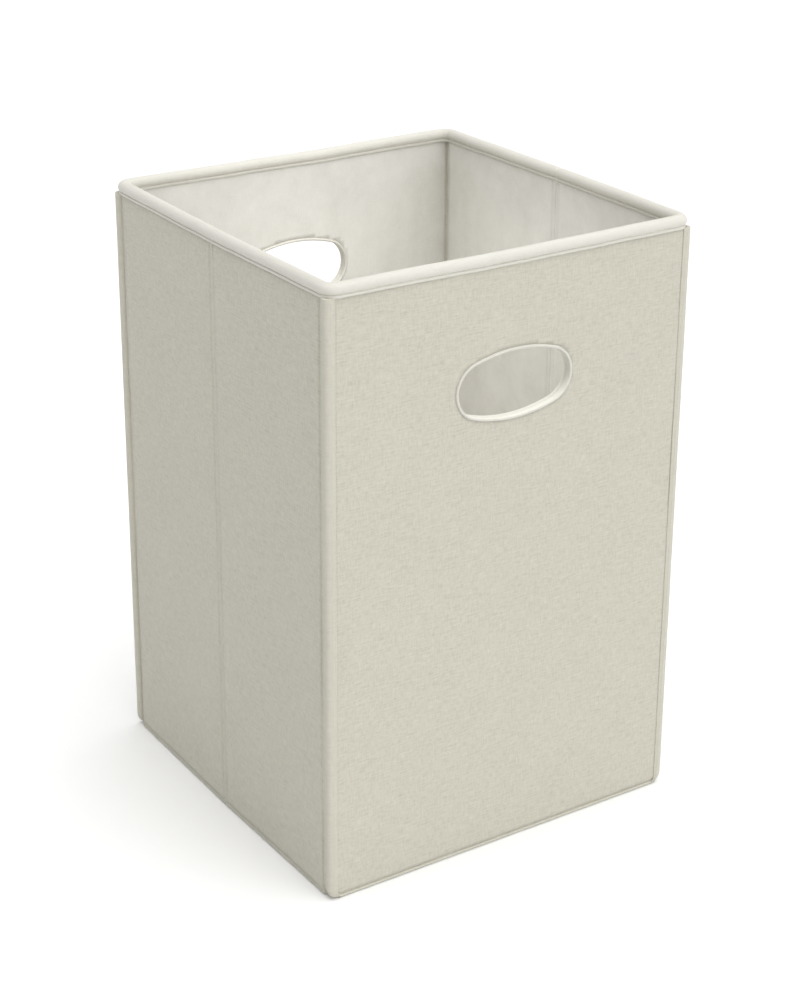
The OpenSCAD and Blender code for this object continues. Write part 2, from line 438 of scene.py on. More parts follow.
def woven_material(name, light, mid, dark, thread_pitch, slub, roughness=0.85, sheen=0.25):
    """Plain weave: crossing threads that rise and dip in turn, with slubs, streaks and soft blotches."""
    shade = Shade(name, roughness, sheen, (1.0, 0.99, 0.95, 1))
    plane, across, up = cloth_plane(shade)
    wobble = shade.noise(shade.stretch(plane, (60, 60, 1)), 1.0, 1.0)
    wobble = shade.math("MULTIPLY", shade.math("SUBTRACT", wobble, 0.5), thread_pitch * 1.2)
    across_w = shade.math("ADD", across, wobble)
    up_w = shade.math("ADD", up, wobble)
    warp = thread_wave(shade, across_w, thread_pitch)
    weft = thread_wave(shade, up_w, thread_pitch)
    checker_a = shade.math("SINE", shade.math("MULTIPLY", across_w, math.pi / thread_pitch))
    checker_b = shade.math("SINE", shade.math("MULTIPLY", up_w, math.pi / thread_pitch))
    over = shade.math("MULTIPLY", checker_a, checker_b)
    over = shade.math("MULTIPLY_ADD", over, 0.5, 0.5)
    weave = shade.math("ADD", shade.math("MULTIPLY", warp, over),
                       shade.math("MULTIPLY", weft, shade.math("SUBTRACT", 1.0, over)))
    long_across = shade.noise(shade.stretch(plane, (45, 1100, 1)), 1.0, 2.0, 0.6)
    long_up = shade.noise(shade.stretch(plane, (1100, 60, 1)), 1.0, 2.0, 0.6)
    long_up = shade.math("MULTIPLY_ADD", long_up, 0.6, 0.2)
    short_across = shade.noise(shade.stretch(plane, (140, 620, 1)), 1.0, 2.0, 0.6)
    short_up = shade.noise(shade.stretch(plane, (620, 170, 1)), 1.0, 2.0, 0.6)
    slubs = shade.math("ADD", shade.math("ADD", long_across, long_up),
                       shade.math("ADD", short_across, short_up))
    slubs = shade.math("MULTIPLY_ADD", slubs, 0.5, -1.0)
    blotch = shade.noise(shade.stretch(plane, (22, 18, 1)), 1.0, 3.0, 0.55)
    tone = shade.math("MULTIPLY_ADD", slubs, slub, 0.5)
    tone = shade.math("ADD", tone, shade.math("MULTIPLY_ADD", blotch, 0.12, -0.06))
    tone = shade.math("ADD", tone, shade.math("MULTIPLY_ADD", weave, 0.1, -0.06))
    colour = shade.ramp(tone, [(0.2, dark), (0.8, light), (0.5, mid)])
    height_map = shade.math("ADD", weave, shade.math("MULTIPLY", slubs, 1.6))
    fine = shade.bump(height_map, 0.55, 0.00022)
    soft = shade.bump(blotch, 0.35, 0.0012, fine)
    return shade.finish(colour, soft)


def liner_material(name, flat=False):
    """Bonded non-woven cloth: cloudy patches, loose fibres and a fine grid of bonding dots."""
    shade = Shade(name, 0.9, 0.15)
    plane, across, up = cloth_plane(shade, flat)
    clouds = shade.noise(shade.stretch(plane, (14, 11, 1)), 1.0, 4.0, 0.6, 0.6)
    patches = shade.noise(shade.stretch(plane, (45, 38, 1)), 1.0, 3.0, 0.6)
    fibre_a = shade.noise(shade.stretch(plane, (180, 900, 1)), 1.0, 2.0, 0.65, 1.0)
    fibre_b = shade.noise(shade.stretch(plane, (800, 160, 1)), 1.0, 2.0, 0.65, 1.0)
    fibres = shade.math("MULTIPLY_ADD", shade.math("ADD", fibre_a, fibre_b), 0.5, 0.0)
    dots = shade.math("MULTIPLY", thread_wave(shade, across, 1.9 * MM), thread_wave(shade, up, 1.9 * MM))
    dots = shade.math("POWER", dots, 0.35)
    tone = shade.math("MULTIPLY_ADD", clouds, 0.6, 0.2)
    tone = shade.math("ADD", tone, shade.math("MULTIPLY_ADD", patches, 0.35, -0.175))
    tone = shade.math("ADD", tone, shade.math("MULTIPLY_ADD", fibres, 0.4, -0.2))
    colour = shade.ramp(tone, [(0.25, (0.67, 0.655, 0.61)), (0.75, (0.84, 0.826, 0.78)),
                               (0.5, (0.765, 0.751, 0.705))])
    grain = shade.math("ADD", shade.math("MULTIPLY", dots, 0.6), fibres)
    fine = shade.bump(grain, 0.4, 0.00025)
    soft = shade.bump(clouds, 0.35, 0.003, fine)
    return shade.finish(colour, soft)


def thread_material():
    """Twisted sewing thread."""
    shade = Shade("sewing_thread", 0.6, 0.2)
    twist = shade.noise(shade.stretch(shade.coord, (1800, 1800, 1800)), 1.0, 1.0)
    colour = shade.ramp(twist, [(0.3, (0.58, 0.56, 0.49)), (0.7, (0.70, 0.68, 0.61))])
    return shade.finish(colour, shade.bump(twist, 0.4, 0.00015))


def board_material():
    """Grey-brown pressed board with fibre flecks."""
    shade = Shade("pressed_board", 0.9)
    fleck = shade.noise(shade.stretch(shade.coord, (500, 500, 300)), 1.0, 3.0, 0.7)
    cloud = shade.noise(shade.stretch(shade.coord, (25, 25, 25)), 1.0, 2.0)
    tone = shade.math("MULTIPLY_ADD", fleck, 0.7, shade.math("MULTIPLY", cloud, 0.3))
    colour = shade.ramp(tone, [(0.35, (0.30, 0.24, 0.16)), (0.65, (0.48, 0.40, 0.29))])
    return shade.finish(colour, shade.bump(fleck, 0.3, 0.0003))


cover_cloth = woven_material("linen_weave_cover", (0.68, 0.657, 0.565), (0.603, 0.583, 0.496),
                             (0.495, 0.477, 0.4), 0.62 * MM, 1.05)
tape_cloth = woven_material("edge_tape_weave", (0.695, 0.672, 0.578), (0.63, 0.61, 0.52),
                            (0.54, 0.52, 0.44), 0.5 * MM, 0.6)
binding_cloth = woven_material("smooth_binding_cloth", (0.80, 0.782, 0.715), (0.74, 0.722, 0.655),
                               (0.65, 0.63, 0.56), 0.42 * MM, 0.4, 0.7, 0.3)
liner_cloth = liner_material("nonwoven_liner")
base_cloth = liner_material("nonwoven_base", flat=True)
thread = thread_material()
board = board_material()


# ---- front and back walls ----

def panel_relief(x, z, seed):
    """Soft unevenness of a front or back wall: drawn in at the seams and slightly full between."""
    off = -seam_dip * (1 - min(0.6 + 0.4 * ease(tape_inner_x - abs(x), 8 * MM),
                               ease(rim_low - z, 10 * MM), ease(z - hem_top + 1.5 * MM, 5 * MM)))
    off += puff((x, 0, z), 0.12, broad_fullness, seed)
    off += puff((x, 0, z), 0.04, small_ripple, seed + 5)
    return max(off, -deepest_dip)


def panel_cloth(name, side):
    """Outer cover and liner of a front or back wall, each cut away for the hand slot."""
    edge = tape_inner_x + 2.2 * MM
    columns = round(2 * edge / cloth_step)
    cloth_low = hem_top - 0.8 * MM
    rows = round((under_rim - cloth_low) / cloth_step)
    for kind, material, face, outward in (("cover", cover_cloth, panel_out, 1),
                                          ("liner", liner_cloth, panel_in, -1)):
        def place(column, row):
            return Vector((-edge + 2 * edge * column / columns, 0,
                           cloth_low + (under_rim - cloth_low) * row / rows))
        bm = cloth_grid(columns, rows, place)
        cut_slot(bm, 1.6 * MM)
        share = 1.0 if kind == "cover" else 0.7
        for v in bm.verts:
            relief = share * panel_relief(v.co.x, v.co.z, 3.0 * side + 7 * outward)
            v.co.y = side * (face + outward * relief)
        face_out(bm, lambda p: Vector((0, side * outward, 0)))
        piece = finished(f"{name}_{kind}_cloth", bm, material)
        give_thickness(piece, CLOTH)
        fit(piece, name, kind, f"{name}_{kind}")


def panel_board(name, side):
    """Stiff board of a front or back wall, cut away for the slot, with rounded corners."""
    low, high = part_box(f"{name}_board")
    columns, rows = round((high.x - low.x) / cloth_step), round((high.z - low.z) / cloth_step)
    thick = high.y - low.y - 0.4 * MM

    def place(column, row):
        x = low.x + (high.x - low.x) * column / columns
        z = low.z + (high.z - low.z) * row / rows
        for corner_z, up, r in ((high.z, 1, board_top_corner_r), (low.z, -1, low_corner_r)):
            past_x, past_z = abs(x) - (high.x - r), up * (z - corner_z) + r
            if past_x > 0 and past_z > 0:
                shrink = max(past_x, past_z) / math.hypot(past_x, past_z)
                x = math.copysign(high.x - r + past_x * shrink, x)
                z = corner_z + up * (past_z * shrink - r)
        return Vector((x, 0, z))
    bm = cloth_grid(columns, rows, place)
    cut_slot(bm, 2 * MM)
    made = bmesh.ops.extrude_face_region(bm, geom=bm.faces[:])
    moved = set(g for g in made["geom"] if isinstance(g, bmesh.types.BMVert))
    for v in bm.verts:
        v.co.y = side * panel_mid + (thick / 2 if v in moved else -thick / 2)
    bmesh.ops.recalc_face_normals(bm, faces=bm.faces)
    outline = [e for e in bm.edges if len(e.link_faces) == 2 and e.calc_face_angle(0) > 1.0]
    bmesh.ops.bevel(bm, geom=outline, offset=board_edge_r, offset_type="OFFSET", segments=2,
                    profile=0.5, affect="EDGES", material=-1)
    fit(finished(f"{name}_board_panel", bm, board), name, "stiff_board", f"{name}_board")


def slot_binding(name, side):
    """Binding rolled round the slot's edge: a bead on each face and a lining set back between."""
    section = arc((1.25, 3.55), 1.25, -70, 222, 12)
    section += [(0.95, 2.35), (1.5, 1.7), (1.75, 0.8)]
    mirrored = [(u, -w) for u, w in reversed(section)]
    outline = [(u * MM, w * MM) for u, w in section + mirrored]
    frames = []
    rounds = 128
    for k in range(rounds + 1):
        (x, z), (ox, oz) = slot_point(k / rounds)
        swell = 1 + puff((x, 0, z), 0.012, 0.06, side)
        m = Matrix(((ox, 0, oz), (oz, 0, -ox), (0, side, 0))).transposed().to_4x4()
        m.translation = Vector((x, side * panel_mid, z + slot_z))
        frames.append(m @ Matrix.Diagonal((swell, 1, 1, 1)))
    frames[-1] = frames[0].copy()
    piece = finished(f"{name}_slot_binding_roll", sweep(outline, frames, closed=True), binding_cloth)
    fit(piece, name, "binding", f"{name}_slot_binding")
    bm = bmesh.new()
    count = 96
    for face in (1, -1):
        for k in range(count):
            (x, z), (ox, oz) = slot_point((k + 0.5) / count, 2.75 * MM)
            turn = Matrix(((-oz, 0, ox), (ox, 0, oz), (0, 1, 0))).transposed().to_4x4()
            turn.translation = Vector((x, side * (panel_mid + face * (half_wall + 0.25 * MM)), z + slot_z))
            size = Matrix.Diagonal((1.05 * MM, 0.22 * MM, 0.2 * MM, 1))
            bmesh.ops.create_uvsphere(bm, u_segments=6, v_segments=4, radius=1.0, matrix=turn @ size)
    bmesh.ops.recalc_face_normals(bm, faces=bm.faces)
    fit(finished(f"{name}_slot_stitches", bm, thread), name, "binding")


def edge_tape(name, side, hand):
    """Tape folded round one vertical edge and round the wall's lower corner."""
    fold_x = half_width - tape_r
    rows = [("cap", rim_low + 0.9 * MM)]
    rows += [("straight", z) for z in spread(rim_low + 0.5 * MM, low_corner_r, 4 * MM)]
    rows += [("corner", a) for a in spread(0, 90, 7.5)[1:]]
    leg = [0, 0.08, 0.16, 0.25, 0.33, 0.4, 0.47, 0.55, 0.68, 0.8, 0.92]
    turns = spread(90, -90, 15)
    columns = [("leg", q, 1) for q in leg] + [("fold", a, 0) for a in turns]
    columns += [("leg", q, -1) for q in reversed(leg)]

    def leg_relief(q, z, face):
        groove = -0.2 * MM * math.exp(-((q - 0.4) / 0.1) ** 2)
        full = (0.25 if face > 0 else 0.05) * MM * ease(q - 0.45, 0.25) * (1 - ease(q - 0.8, 0.2))
        edge = -0.46 * MM * (1 - ease(q, 0.3))
        return groove + edge + full * (1 + puff((0, 0, z), 0.02, 0.8, side * 2 + hand))

    def place(column, row):
        kind, where = rows[row]
        if kind in ("cap", "straight"):
            inner, crown, out = (tape_inner_x, where), (fold_x, where), (1.0, 0.0)
        else:
            a = math.radians(where)
            out = (math.cos(a), -math.sin(a))
            reach = low_corner_r - tape_r
            crown = (half_width - low_corner_r + reach * out[0], low_corner_r + reach * out[1])
            inner = (tape_inner_x, low_corner_r - (low_corner_r - tape_r) * where / 90)
        shape, q, face = columns[column]
        if shape == "leg":
            x, z = (inner[k] + (crown[k] - inner[k]) * q for k in (0, 1))
            deep = face * (tape_r + leg_relief(q, z, face))
        else:
            a = math.radians(q)
            x, z = (crown[k] + out[k] * tape_r * math.cos(a) for k in (0, 1))
            deep = tape_r * math.sin(a)
        if kind == "cap":
            x, deep = min(x, fold_x + 0.3 * tape_r), 0.3 * deep
        x += puff((0, 3, z), 0.05, 0.25 * MM, hand) * ease(z - low_corner_r, 30 * MM)
        return Vector((hand * x, side * (panel_mid + deep), max(z, 0.3 * MM)))

    bm = cloth_grid(len(columns) - 1, len(rows) - 1, place)
    spine = Vector((hand * (fold_x - 4 * MM), side * panel_mid, 0))
    face_out(bm, lambda p: Vector((p.x - spine.x, p.y - spine.y, 0)))
    word = "left" if hand == LEFT else "right"
    piece = finished(f"{name}_edge_tape_{word}", bm, tape_cloth)
    give_thickness(piece, tape_thickness)
    fit(piece, name, "edge_tape", f"{name}_edge_{word}")
    stitch_x = hand * (tape_inner_x + 0.4 * (fold_x - tape_inner_x))
    for face, words in ((1, "out"), (-1, "in")):
        y = side * (panel_mid + face * (tape_r - 0.2 * MM))
        stitch_row(f"{name}_tape_stitches_{word}_{words}", name, "edge_tape",
                   (stitch_x, y, 9 * MM), (stitch_x, y, rim_low - 1 * MM), (0, side * face, 0))


def hem_section(rolled=True):
    """Section of the soft strip under a wall, in metres from the wall's middle and the floor."""
    if rolled:
        half = [(0.0, 0.25), (2.9, 0.25), (3.4, 0.45), (3.7, 0.9), (3.75, 1.5), (3.7, 2.4),
                (3.35, 2.95), (2.6, 3.05), (0.0, 3.1)]
    else:
        half = [(0.0, 0.25), (2.6, 0.25), (3.15, 0.5), (3.42, 1.1), (3.5, 2.0), (3.5, 4.4), (0.0, 4.4)]
    return [(u * MM, w * MM) for u, w in half + [(-u, w) for u, w in reversed(half[1:-1])]]


def panel_hem(name, side):
    """Soft roll along the bottom of a front or back wall."""
    end = half_width - low_corner_r
    frames = [frame_at((x, side * panel_mid, 0), (0, side, 0)) @
              Matrix.Diagonal((1 + puff((x, 0, 0), 0.03, 0.05, side), 1, 1, 1))
              for x in spread(-end, end, 6 * MM)]
    piece = finished(f"{name}_hem_roll", sweep(hem_section(), frames), tape_cloth)
    fit(piece, name, "cover", f"{name}_hem")
    if name == "front":
        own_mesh(piece)


# ---- padded rim ----

def rim_section():
    """Section of the rim binding, out and up from the middle of its top."""
    half = [(4.3, -11.5), (4.68, -11.1), (4.85, -10.3), (4.78, -9.5), (4.3, -9.05), (3.8, -8.85),
            (4.2, -8.5), (4.85, -7.8), (5.25, -7.0), (5.45, -6.2)]
    crown = arc((0, -5.5), 5.5, 0, 180, 16)
    channel = [(-3.62, -11.5), (-3.62, -7.2), (3.62, -7.2), (3.62, -11.5)]
    whole = half + crown + [(-u, w) for u, w in reversed(half)] + channel
    return [(u * MM, w * MM) for u, w in whole]


def rim_frame(place, out, swell=0.0, drop=0.0):
    """One station of the rim binding."""
    m = frame_at(Vector((place[0], place[1], height - drop)), (out[0], out[1], 0))
    return m @ Matrix.Diagonal((1 + swell, 1, 1 + 0.4 * swell, 1))


def rim_run(start, end, out, seed, drop=0.0):
    """Stations along a straight stretch of rim, uneven between its ends and true at them."""
    start, end = Vector(start), Vector(end)
    stations = []
    length = (end - start).length
    for s in spread(0, 1, 4 * MM / length):
        p = start.lerp(end, s)
        calm = ease(s * length, 14 * MM) * ease((1 - s) * length, 14 * MM)
        swell = calm * (puff((p.x, p.y, 0), 0.03, 0.05, seed) + puff((p.x, p.y, 0), 0.009, 0.018, seed))
        sag = drop * math.sin(math.pi * s) ** 2 + calm * puff((p.x, p.y, 0), 0.06, 0.35 * MM, seed)
        stations.append(rim_frame(p, out, swell, sag))
    return stations


def panel_rim(name, side):
    """Padded rim along a front or back wall, with a stitch row on each face."""
    frames = rim_run((-rim_corner_run, side * panel_mid), (rim_corner_run, side * panel_mid),
                     (0, side), side * 4.0, 0.9 * MM)
    piece = finished(f"{name}_rim_padding", sweep(rim_section(), frames), binding_cloth)
    fit(piece, name, "binding", f"{name}_rim")
    for face, word in ((1, "out"), (-1, "in")):
        y = side * (panel_mid + face * rim_groove_out)
        z = height - rim_groove_down - 0.5 * MM
        stitch_row(f"{name}_rim_stitches_{word}", name, "binding",
                   (-rim_corner_run, y, z), (rim_corner_run, y, z), (0, side * face, 0))


def half_rim(name, hand, side):
    """Padded rim along one half of a side wall, with a stitch row on each face."""
    frames = rim_run((hand * side_mid, side * rim_crease_half), (hand * side_mid, side * rim_corner_run),
                     (hand, 0), hand * 2.0 + side)
    bm = sweep(rim_section(), frames)
    bow_sides(bm)
    piece = finished(f"{name}_rim_padding", bm, binding_cloth)
    fit(piece, name, "binding", f"{name}_rim")
    near, far = side * 4 * MM, side * rim_corner_run
    for face, word in ((1, "out"), (-1, "in")):
        z = height - rim_groove_down
        ends = [(hand * (side_mid + face * rim_groove_out + bow_at(y)), y, z) for y in (near, far)]
        stitch_row(f"{name}_rim_stitches_{word}", name, "binding", ends[0], ends[1], (hand * face, 0, 0))


def rim_corner(panel, half, hand, side):
    """The rim binding round one corner, over the hinge under it."""
    cx, cy = hand * (side_mid - rim_turn_r), side * (panel_mid - rim_turn_r)
    frames = [rim_frame((hand * x, side * panel_mid), (0, side))
              for x in spread(rim_corner_run, side_mid - rim_turn_r, 3 * MM)[:-1]]
    for a in spread(90, 0, 7.5):
        out = (hand * math.cos(math.radians(a)), side * math.sin(math.radians(a)))
        place = (cx + rim_turn_r * out[0], cy + rim_turn_r * out[1])
        pinch = math.sin(math.radians(2 * a)) ** 2 * (0.05 + puff((*place, 0), 0.005, 0.05))
        frames.append(rim_frame(place, out, pinch))
    tail = [rim_frame((hand * side_mid, side * y), (hand, 0))
            for y in spread(panel_mid - rim_turn_r, rim_corner_run, 3 * MM)[1:]]
    name = f"{panel}_{'left' if hand == LEFT else 'right'}_rim_corner"
    if (panel, hand) == ("front", RIGHT):
        split = [k for k, f in enumerate(frames) if abs(f.translation.y) < hinge_y + 2.5 * MM]
        cut = split[0] if split else len(frames) - 1
        piece = finished(name, bowed(sweep(rim_section(), frames[:cut + 1])), binding_cloth)
        fit(piece, panel, "binding")
        rest = finished(name + "_end", bowed(sweep(rim_section(), frames[cut:] + tail)), binding_cloth)
        fit(rest, half, "binding")
        return
    piece = finished(name, bowed(sweep(rim_section(), frames + tail)), binding_cloth)
    a, b = (panel, half) if panel == "back" else (half, panel)
    ends = [(hand * (side_mid - 7.5 * MM), side * panel_mid, height),
            (hand * side_mid, side * (panel_mid - 9.5 * MM), height)]
    if panel == "front":
        ends.reverse()
    hinge(piece, a, b, ends[0], ends[1], "binding")


def bowed(bm):
    """The same surface, moved out to the bowed line of the side walls."""
    bow_sides(bm)
    return bm


def rim_crease(word, hand, pinch):
    """The rim binding over a centre crease."""
    frames = []
    for y in spread(-rim_crease_half, rim_crease_half, 1 * MM):
        near = math.cos(math.pi / 2 * y / rim_crease_half) ** 2
        frames.append(rim_frame((hand * side_mid, y), (hand, 0), -pinch * near, 4 * pinch * near * MM))
    piece = finished(f"{word}_rim_crease", bowed(sweep(rim_section(), frames)), binding_cloth)
    hinge(piece, f"{word}_rear", f"{word}_front", (hand * side_mid, rim_crease_half * 0.8, height),
          (hand * side_mid, -rim_crease_half * 0.8, height), "binding")


# ---- side walls ----

def side_relief(y, z, seed):
    """Soft unevenness of a side wall: drawn in at the seams, calm at the crease."""
    off = -seam_dip * (1 - min(ease(rim_low - z, 10 * MM), 0.5 + 0.5 * ease(hinge_y - abs(y), 7 * MM)))
    calm = ease(abs(y) - crease_half, 12 * MM)
    off += calm * (puff((0, y, z), 0.11, broad_fullness, seed)
                   + puff((0, y, z), 0.038, small_ripple, seed + 5))
    return max(off, -deepest_dip)


def half_cloth(name, hand, side):
    """Outer cover and liner of one half of a side wall."""
    rows = round((under_rim - hem_top) / cloth_step)
    for kind, material, face, outward, near in (
            ("cover", cover_cloth, side_out, 1, crease_half),
            ("liner", liner_cloth, side_in, -1, band_half)):
        columns = round((hinge_y - near) / cloth_step)

        def place(column, row):
            y = near + (hinge_y - near) * column / columns
            z = hem_top + 0.2 * MM + (under_rim - hem_top) * row / rows
            relief = side_relief(y, z, 5.0 * hand + side + 3 * outward) * (1.0 if outward > 0 else 0.7)
            return Vector((hand * (face + outward * relief), side * y, z))
        bm = bowed(cloth_grid(columns, rows, place))
        face_out(bm, lambda p: Vector((hand * outward, 0, 0)))
        piece = finished(f"{name}_{kind}_cloth", bm, material)
        give_thickness(piece, CLOTH)
        fit(piece, name, kind, f"{name}_{kind}")


def half_board(name):
    """Stiff board of one half of a side wall, standing on the bowed line."""
    low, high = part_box(f"{name}_board")
    bm = bmesh.new()
    bmesh.ops.create_cube(bm, size=1.0)
    bmesh.ops.scale(bm, vec=(high.x - low.x - 0.4 * MM, high.y - low.y, high.z - low.z), verts=bm.verts)
    bmesh.ops.translate(bm, vec=(low + high) / 2, verts=bm.verts)
    bmesh.ops.bevel(bm, geom=bm.edges[:], offset=board_edge_r, offset_type="OFFSET", segments=2,
                    profile=0.5, affect="EDGES", material=-1)
    fit(finished(f"{name}_board_panel", bowed(bm), board), name, "stiff_board", f"{name}_board")


def half_hem(name, hand, side):
    """Soft roll under one half of a side wall."""
    frames = [frame_at((hand * side_mid, side * y, 0), (hand, 0, 0)) @
              Matrix.Diagonal((1 + puff((0, y, 0), 0.03, 0.03, hand), 1, 1, 1))
              for y in spread(0.4 * MM, hinge_y, 6 * MM)]
    piece = finished(f"{name}_hem_roll", bowed(sweep(hem_section(rolled=False), frames)), cover_cloth)
    fit(piece, name, "cover", f"{name}_hem")
    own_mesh(piece)


def upright(section, low, high):
    """Runs an upright strip of cloth, whose section is given in plan, from low to high."""
    bm = bmesh.new()
    ring = [bm.verts.new((x, y, low)) for x, y in section]
    face = bm.faces.new(ring)
    edges = face.edges[:]
    for before, z in zip(spread(low, high, 6 * MM), spread(low, high, 6 * MM)[1:]):
        made = bmesh.ops.extrude_edge_only(bm, edges=edges)["geom"]
        verts = [g for g in made if isinstance(g, bmesh.types.BMVert)]
        fresh = set(verts)
        edges = [g for g in made if isinstance(g, bmesh.types.BMEdge)
                 and g.verts[0] in fresh and g.verts[1] in fresh]
        bmesh.ops.translate(bm, vec=(0, 0, z - before), verts=verts)
    bmesh.ops.contextual_create(bm, geom=edges)
    bmesh.ops.recalc_face_normals(bm, faces=bm.faces)
    return bm


def crease_cloth(word, hand):
    """Strip of cover over a centre crease, pressed into a shallow valley."""
    ys = spread(-crease_half, crease_half, crease_half / 4)
    dips = [0.28 * MM * (0.12 + 0.88 * math.cos(math.pi / 2 * y / crease_half) ** 2) for y in ys]
    skin = [(hand * (side_out - dip), y) for dip, y in zip(dips, ys)]
    back = [(hand * (side_out - 1.1 * MM), y) for y in reversed(ys)]
    bm = bowed(upright(skin + back, hem_top, under_rim))
    piece = finished(f"{word}_crease_strip_cloth", bm, cover_cloth, 50)
    reach = crease_half * 0.95
    hinge(piece, f"{word}_rear", f"{word}_front", (hand * side_out, reach, 0.3),
          (hand * side_out, -reach, 0.3), "cover", f"{word}_crease_strip")


def crease_band(half, side, hand, *stands_for):
    """Liner turned in round the board's end at a centre crease, down to the strip of cover."""
    top = [(0.0, 3.0), (0.02, 1.6), (0.12, 0.95), (0.4, 0.45), (0.9, 0.16), (1.6, 0.1), (5.6, 0.1)]
    under = [(5.6, 0.7), (1.7, 0.75), (1.1, 0.95), (0.85, 1.6), (0.8, 3.0)]
    section = [(hand * (side_in + u * MM), side * w * MM) for u, w in top + under]
    bm = bowed(upright(section, hem_top, under_rim))
    fit(finished(f"{half}_crease_band_cloth", bm, liner_cloth, 50), half, "liner", *stands_for)


def gusset_cloth(panel, half, hand, side):
    """Cloth hinge between a side half and the wall beside it: a groove at the back, filled at the front."""
    y0, y1 = hinge_y - 1.4 * MM, panel_in - 0.7 * MM
    if panel == "back":
        outer = [(side_out - 0.4 * MM, y0), (side_out - 0.45 * MM, hinge_y),
                 (side_out - 1.1 * MM, hinge_y + 1.2 * MM), (side_out - 1.7 * MM, hinge_y + 2.3 * MM),
                 (side_out - 1.5 * MM, y1)]
    else:
        outer = [(side_out - 0.3 * MM, y0), (side_out - 0.15 * MM, hinge_y),
                 (side_out - 0.1 * MM, hinge_y + 1.2 * MM), (side_out + 0.05 * MM, hinge_y + 2.4 * MM),
                 (side_out + 0.35 * MM, panel_mid - 3 * MM), (side_out - 1.2 * MM, panel_mid - 3.6 * MM)]
    inner = [(side_in + 0.5 * MM, y1), (side_in + 0.4 * MM, hinge_y + 2.2 * MM),
             (side_in + 0.25 * MM, hinge_y + 1.0 * MM), (side_in + 0.3 * MM, hinge_y),
             (side_in + 0.4 * MM, y0)]
    section = [(hand * x, side * y) for x, y in outer + inner]
    word = "left" if hand == LEFT else "right"
    bm = upright(section, 0.6 * MM, under_rim)
    for v in bm.verts:
        if abs(v.co.y) > hinge_y + 1 * MM and v.co.z < low_corner_r:
            run = math.sqrt(low_corner_r ** 2 - (low_corner_r - v.co.z) ** 2)
            reach = max(half_width - low_corner_r + run - 1.7 * MM, side_in + 1 * MM)
            v.co.x = hand * min(abs(v.co.x), reach)
    piece = finished(f"{panel}_{word}_gusset_cloth", bm, cover_cloth, 50)
    if (panel, hand) == ("front", RIGHT):
        return fit(piece, panel, "cover", f"{panel}_{word}_gusset")
    ends = [(hand * side_mid, side * y1, 0.3), (hand * side_mid, side * y0, 0.3)]
    bodies = [panel, half]
    if panel == "front":
        ends.reverse()
        bodies.reverse()
    return hinge(piece, bodies[0], bodies[1], ends[0], ends[1], "cover", f"{panel}_{word}_gusset")


# ---- base flap ----

def base_flap():
    """Liner cloth wrapped round the base board, with a stitched border and a cloth hinge."""
    columns = rows = round((base_high.x - base_low.x) / (5 * MM))
    inset = 0.3 * MM

    def place(column, row):
        x = base_low.x + inset + (base_high.x - base_low.x - 2 * inset) * column / columns
        y = base_low.y + inset + (base_high.y - base_low.y - 2 * inset) * row / rows
        margin = min(x - base_low.x, base_high.x - x, y - base_low.y, base_high.y - y)
        groove = 0.2 * MM * math.exp(-((margin - base_border) / (2 * MM)) ** 2)
        return Vector((x, y, base_high.z - 0.05 * MM - groove + puff((x, y, 0), 0.07, 0.12 * MM, 2)))
    bm = cloth_grid(columns, rows, place)
    face_out(bm, lambda p: Z_AXIS)
    made = bmesh.ops.extrude_face_region(bm, geom=bm.faces[:])
    top = [g for g in made["geom"] if isinstance(g, bmesh.types.BMVert)]
    lower = [v for v in bm.verts if v not in set(top)]
    for v in lower:
        v.co.z = base_low.z + 0.1 * MM
    bmesh.ops.recalc_face_normals(bm, faces=bm.faces)
    rim_edges = [e for e in bm.edges if len(e.link_faces) == 2 and e.calc_face_angle(0) > 1.0]
    bmesh.ops.bevel(bm, geom=rim_edges, offset=0.9 * MM, offset_type="OFFSET", segments=3,
                    profile=0.5, affect="EDGES", material=-1)
    piece = finished("base_cover_cloth", bm, base_cloth)
    fit(piece, "base", "liner", "base_cover")
    z = base_high.z - 0.12 * MM
    x, y0, y1 = base_high.x - base_border, base_low.y + base_border, base_high.y - 20 * MM
    corners = [(-x, y0, z), (x, y0, z), (x, y1, z), (-x, y1, z), (-x, y0, z)]
    for k, (a, b) in enumerate(zip(corners, corners[1:])):
        stitch_row(f"base_stitches_{k + 1}", "base", "liner", a, b, (0, 0, 1))
    low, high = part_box("base_hinge")
    fold = Vector((0, high.y - 0.5 * MM, base_high.z + 0.35 * MM))
    path = [(low.y, fold.z - 0.1 * MM), (low.y + 5 * MM, fold.z), (fold.y - 3 * MM, fold.z),
            (fold.y - 1.2 * MM, fold.z + 0.2 * MM), (fold.y - 0.35 * MM, fold.z + 0.9 * MM),
            (fold.y, fold.z + 2 * MM), (fold.y + 0.1 * MM, fold.z + 6 * MM), (fold.y + 0.2 * MM, high.z)]

    def strip(column, row):
        return Vector((low.x + (high.x - low.x) * column / 40, path[row][0], path[row][1]))
    bm = cloth_grid(40, len(path) - 1, strip)
    face_out(bm, lambda p: Vector((0, -1, 1)))
    piece = finished("base_hinge_cloth", bm, tape_cloth)
    give_thickness(piece, 0.35 * MM)
    hinge(piece, "back", "base", (0, fold.y, fold.z + 2.2 * MM), (0, fold.y - 2.5 * MM, fold.z),
          "liner", "base_hinge")


# ---- put the bin together ----

for panel, side in PANELS:
    panel_board(panel, side)
    panel_cloth(panel, side)
    slot_binding(panel, side)
    panel_hem(panel, side)
    panel_rim(panel, side)
    for hand in (LEFT, RIGHT):
        edge_tape(panel, side, hand)

for half, hand, side in HALVES:
    panel = "back" if side == BACK else "front"
    half_board(half)
    half_cloth(half, hand, side)
    half_hem(half, hand, side)
    half_rim(half, hand, side)
    rim_corner(panel, half, hand, side)
    gusset_cloth(panel, half, hand, side)

